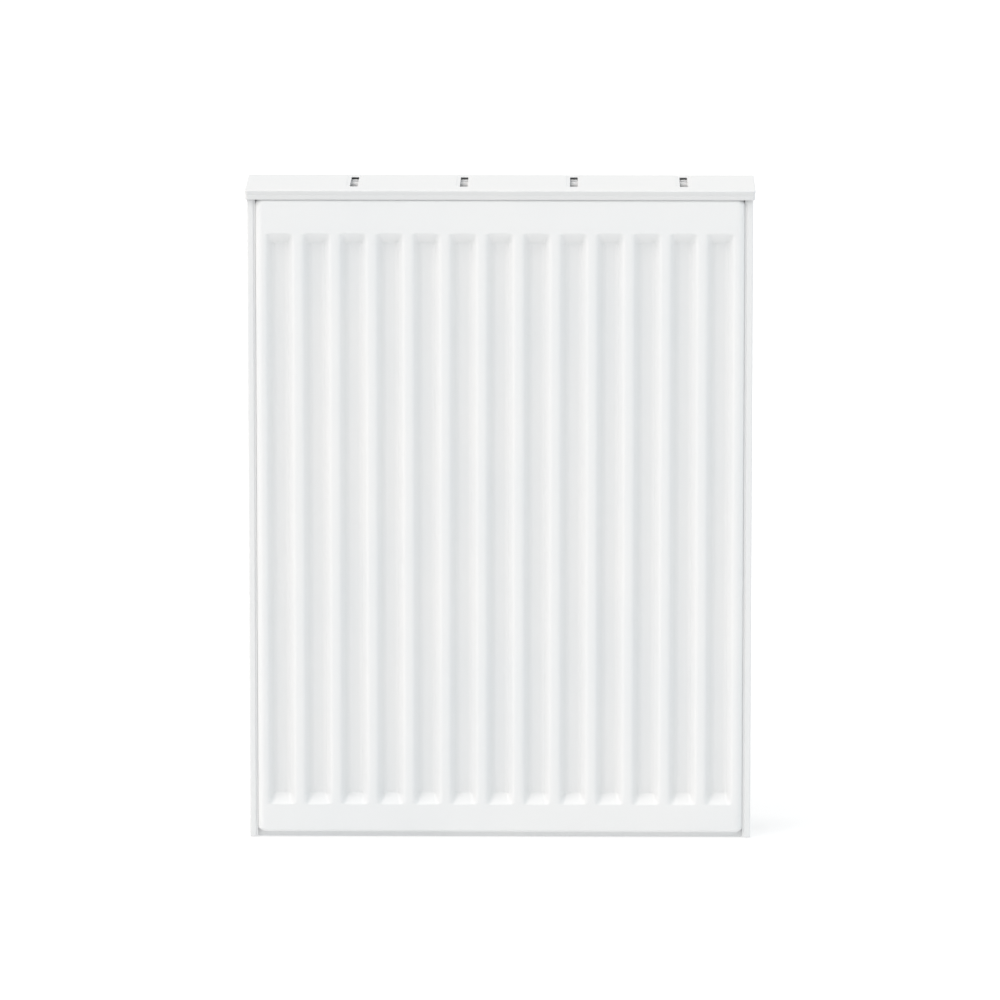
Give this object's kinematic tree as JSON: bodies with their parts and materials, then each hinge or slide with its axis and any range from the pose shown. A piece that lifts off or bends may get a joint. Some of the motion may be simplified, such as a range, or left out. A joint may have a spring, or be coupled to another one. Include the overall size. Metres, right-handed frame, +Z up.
{
  "type": "steel panel radiator",
  "caption": "White compact panel radiator with pressed vertical grooves, convectors between two water panels, side covers, lift-off top grille, air vent and hanging lugs.",
  "frame": {"origin": "middle of the bounding box at the level of the lower panel edges", "axes": "+Z up, the front panel faces -Y, +X to the right seen from the front"},
  "size_m": [0.463, 0.1094, 0.6],
  "materials": {
    "white_enamel": "smooth satin-gloss stoved white enamel",
    "nickel_plate": "nickel-plated brass, turned",
    "spring_steel": "galvanised spring steel",
    "seal_rubber": "matt black",
    "white_plastic": "moulded, satin"
  },
  "bodies": {
    "radiator": {"front_panel_front_sheet": "white_enamel", "front_panel_rear_sheet": "white_enamel", "rear_panel_front_sheet": "white_enamel", "rear_panel_rear_sheet": "white_enamel", "front_convector": "white_enamel", "rear_convector": "white_enamel", "left_side_panel": "white_enamel", "lower_left_tee": "white_enamel", "lower_left_lug": "white_enamel", "lower_left_front_side_clip": "white_plastic", "lower_left_rear_side_clip": "white_plastic", "upper_left_tee": "white_enamel", "upper_left_lug": "white_enamel", "upper_left_front_side_clip": "white_plastic", "upper_left_rear_side_clip": "white_plastic", "right_side_panel": "white_enamel", "lower_right_tee": "white_enamel", "lower_right_lug": "white_enamel", "lower_right_front_side_clip": "white_plastic", "lower_right_rear_side_clip": "white_plastic", "upper_right_tee": "white_enamel", "upper_right_lug": "white_enamel", "upper_right_front_side_clip": "white_plastic", "upper_right_rear_side_clip": "white_plastic", "blanking_plug": "nickel_plate", "blanking_plug_seal": "seal_rubber", "vent_plug_body": "nickel_plate", "vent_plug_seal": "seal_rubber"},
    "grille": {"top_grille": "white_enamel", "front_left_grille_clip": "spring_steel", "front_right_grille_clip": "spring_steel", "rear_left_grille_clip": "spring_steel", "rear_right_grille_clip": "spring_steel"},
    "vent_collar": {"vent_collar": "white_plastic"},
    "bleed_screw": {"bleed_screw": "nickel_plate"}
  },
  "joints": [
    {"name": "grille_lift", "type": "slide", "parent": "radiator", "child": "grille", "axis": [0, 0, 1], "range_m": [0, 0.05]},
    {"name": "vent_collar_swivel", "type": "hinge", "parent": "radiator", "child": "vent_collar", "pos_m": [0.227, -0.00355, 0.569], "axis": [1, 0, 0], "continuous": true},
    {"name": "bleed_screw_turn", "type": "hinge", "parent": "radiator", "child": "bleed_screw", "pos_m": [0.224, -0.00355, 0.569], "axis": [1, 0, 0], "range_deg": [0, 540]}
  ]
}
